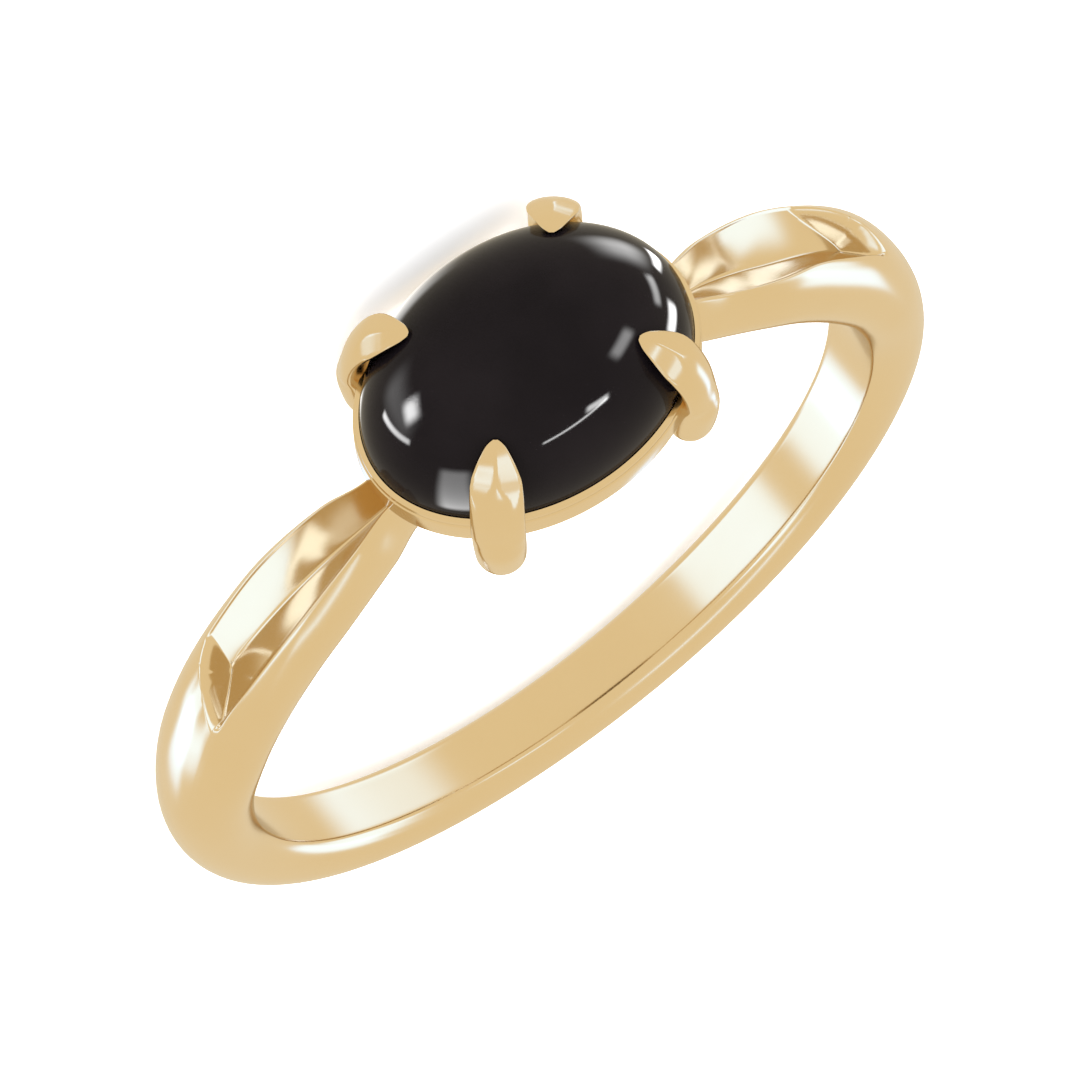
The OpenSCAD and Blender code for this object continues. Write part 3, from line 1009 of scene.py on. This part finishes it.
def add_panel(row, colour, bounce, lit):
    """Puts up a light panel round the ring that only the lit pieces reflect."""
    name, *ends, width, soft, power = row
    az_start, el_start, az_end, el_end = (math.radians(angle) for angle in ends)
    steps = PANEL_STEPS
    start = direction(az_start, el_start)
    end = direction(az_end, el_end)
    pole = start.cross(end).normalized()
    run = math.degrees(start.angle(end))
    points = []
    glow = []
    for i in range(steps + 1):
        along = run * i / steps
        middle = Matrix.Rotation(math.radians(along), 3, pole) @ start
        for j in range(steps + 1):
            across = mix(-width / 2, width / 2, j / steps)
            t = math.radians(across)
            points.append((middle * math.cos(t) + pole * math.sin(t)) * PANEL_R)
            glow.append(
                ease(min(along, run - along) / soft) * ease((width / 2 - abs(across)) / soft)
            )
    faces = []
    for i in range(steps):
        for j in range(steps):
            k = i * (steps + 1) + j
            faces.append((k, k + 1, k + steps + 2, k + steps + 1))
    mesh = bpy.data.meshes.new(name)
    mesh.from_pydata(points, [], faces)
    mesh.attributes.new("glow", "FLOAT", "POINT").data.foreach_set("value", glow)
    mesh.materials.append(glow_material(name, colour, power, bounce))
    panel = bpy.data.objects.new(name, mesh)
    panel.visible_camera = False
    panel.visible_diffuse = False
    panel.visible_transmission = False
    panel.visible_shadow = False
    panel.light_linking.receiver_collection = lit
    bpy.context.scene.collection.objects.link(panel)
    panel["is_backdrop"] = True


def lit_group(name, start):
    """The pieces whose names start alike, which a set of panels lights."""
    group = bpy.data.collections.new(name)
    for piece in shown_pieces():
        if piece.name.startswith(start):
            group.objects.link(piece)
    return group


class RING_OT_stage(bpy.types.Operator):
    """Build the floor, the lights and the camera"""

    bl_idname = "ring.stage"
    bl_label = "Stage"
    bl_options = {"REGISTER", "UNDO"}

    # Width of the floor in metres
    FLOOR_W = 3

    def execute(self, context):
        stage = context.scene.ring_stage
        self.add_camera(context, stage)
        self.add_floor(context, stage)
        self.add_surroundings(context, stage)
        for start, rows, colour, bounce in (
            ("band", BAND_PANELS, stage.daylight, 1),
            ("band", GROOVE_PANELS, stage.groove_light, 2),
            ("collet", COLLET_PANELS, stage.daylight, 1),
            ("claw", CLAW_PANELS, stage.daylight, 1),
            ("stone", STONE_PANELS, stage.lamp, 1),
        ):
            lit = lit_group(f"lit_{start}", start)
            for row in rows:
                add_panel(row, colour, bounce, lit)
        return {"FINISHED"}

    def add_camera(self, context, stage):
        """Puts the camera where the photograph was taken from."""
        back = direction(stage.azimuth, stage.elevation)
        level = Vector((math.cos(stage.azimuth), math.sin(stage.azimuth), 0))
        right = Matrix.Rotation(stage.roll, 3, back) @ level
        up = back.cross(right)
        data = bpy.data.cameras.new("camera")
        data.lens = data.sensor_width * stage.distance / stage.view_w
        data.clip_start, data.clip_end = CAMERA_RANGE
        camera = bpy.data.objects.new("camera", data)
        place = back * stage.distance + right * AIM[0] + up * AIM[1]
        turned = Matrix((right, up, back)).transposed().to_4x4()
        camera.matrix_world = Matrix.Translation(place) @ turned
        context.scene.collection.objects.link(camera)
        context.scene.camera = camera

    def add_floor(self, context, stage):
        """Lays the floor under the ring's lowest point."""
        half = self.FLOOR_W / 2
        z = CAD_BOX[0].z
        corners = [(-half, -half, z), (half, -half, z), (half, half, z), (-half, half, z)]
        mesh = bpy.data.meshes.new("floor")
        mesh.from_pydata(corners, [], [(0, 1, 2, 3)])
        material = bpy.data.materials.new("Pale floor")
        material.use_nodes = True
        shader = material.node_tree.nodes["Principled BSDF"]
        shader.inputs["Base Color"].default_value = stage.floor
        shader.inputs["Roughness"].default_value = FLOOR_ROUGH
        shader.inputs["Emission Color"].default_value = stage.floor
        shader.inputs["Emission Strength"].default_value = stage.floor_glow
        mesh.materials.append(material)
        floor = bpy.data.objects.new("floor", mesh)
        floor.visible_glossy = False
        context.scene.collection.objects.link(floor)
        floor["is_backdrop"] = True

    def add_surroundings(self, context, stage):
        """Lights the room evenly, with a light of its own for reflections."""
        world = bpy.data.worlds.new("Pale room")
        world.use_nodes = True
        tree = world.node_tree
        link = tree.links.new
        light = tree.nodes["Background"]
        light.inputs["Color"].default_value = stage.sky
        light.inputs["Strength"].default_value = stage.sky_power
        mirrored = add_node(tree, "Background", Color=stage.mirrored)
        path = add_node(tree, "LightPath")
        twice = add_math(tree, "GREATER_THAN", ROOM_TWICE)
        depth = add_node(
            tree, "MapRange", To_Min=stage.mirrored_power, To_Max=stage.mirrored_deep
        )
        link(path.outputs["Ray Depth"], twice.inputs[0])
        link(twice.outputs[0], depth.inputs["Value"])
        link(depth.outputs["Result"], mirrored.inputs["Strength"])
        choice = add_node(tree, "MixShader")
        link(path.outputs["Is Glossy Ray"], choice.inputs["Fac"])
        link(light.outputs["Background"], choice.inputs[1])
        link(mirrored.outputs["Background"], choice.inputs[2])
        link(choice.outputs["Shader"], tree.nodes["World Output"].inputs["Surface"])
        context.scene.world = world
        context.scene.view_settings.view_transform = "Standard"


class RING_PT_panel(bpy.types.Panel):
    """The ring's operators and settings"""

    bl_label = "Cabochon Ring"
    bl_space_type = "VIEW_3D"
    bl_region_type = "UI"
    bl_category = "Ring"

    def draw(self, context):
        for operator in OPERATORS:
            self.layout.operator(operator.bl_idname)
        for settings in GROUPS:
            group = getattr(context.scene, settings)
            box = self.layout.box()
            for name in group.bl_rna.properties.keys():
                if name not in ("rna_type", "name"):
                    box.prop(group, name)


OPERATORS = (RING_OT_band, RING_OT_collet, RING_OT_claws, RING_OT_stone, RING_OT_stage)
GROUPS = {"ring_sizes": RingSizes, "ring_finish": RingFinish, "ring_stage": RingStage}


def register():
    """Registers the settings, the operators and the panel."""
    for name, group in GROUPS.items():
        bpy.utils.register_class(group)
        setattr(bpy.types.Scene, name, bpy.props.PointerProperty(type=group))
    for operator in OPERATORS:
        bpy.utils.register_class(operator)
    bpy.utils.register_class(RING_PT_panel)


def unregister():
    """Takes them out again."""
    bpy.utils.unregister_class(RING_PT_panel)
    for operator in reversed(OPERATORS):
        bpy.utils.unregister_class(operator)
    for name, group in GROUPS.items():
        delattr(bpy.types.Scene, name)
        bpy.utils.unregister_class(group)


def main():
    """Builds everything."""
    register()
    bpy.ops.ring.band()
    bpy.ops.ring.collet()
    bpy.ops.ring.claws()
    bpy.ops.ring.stone()
    bpy.ops.ring.stage()


if __name__ == "__main__":
    main()
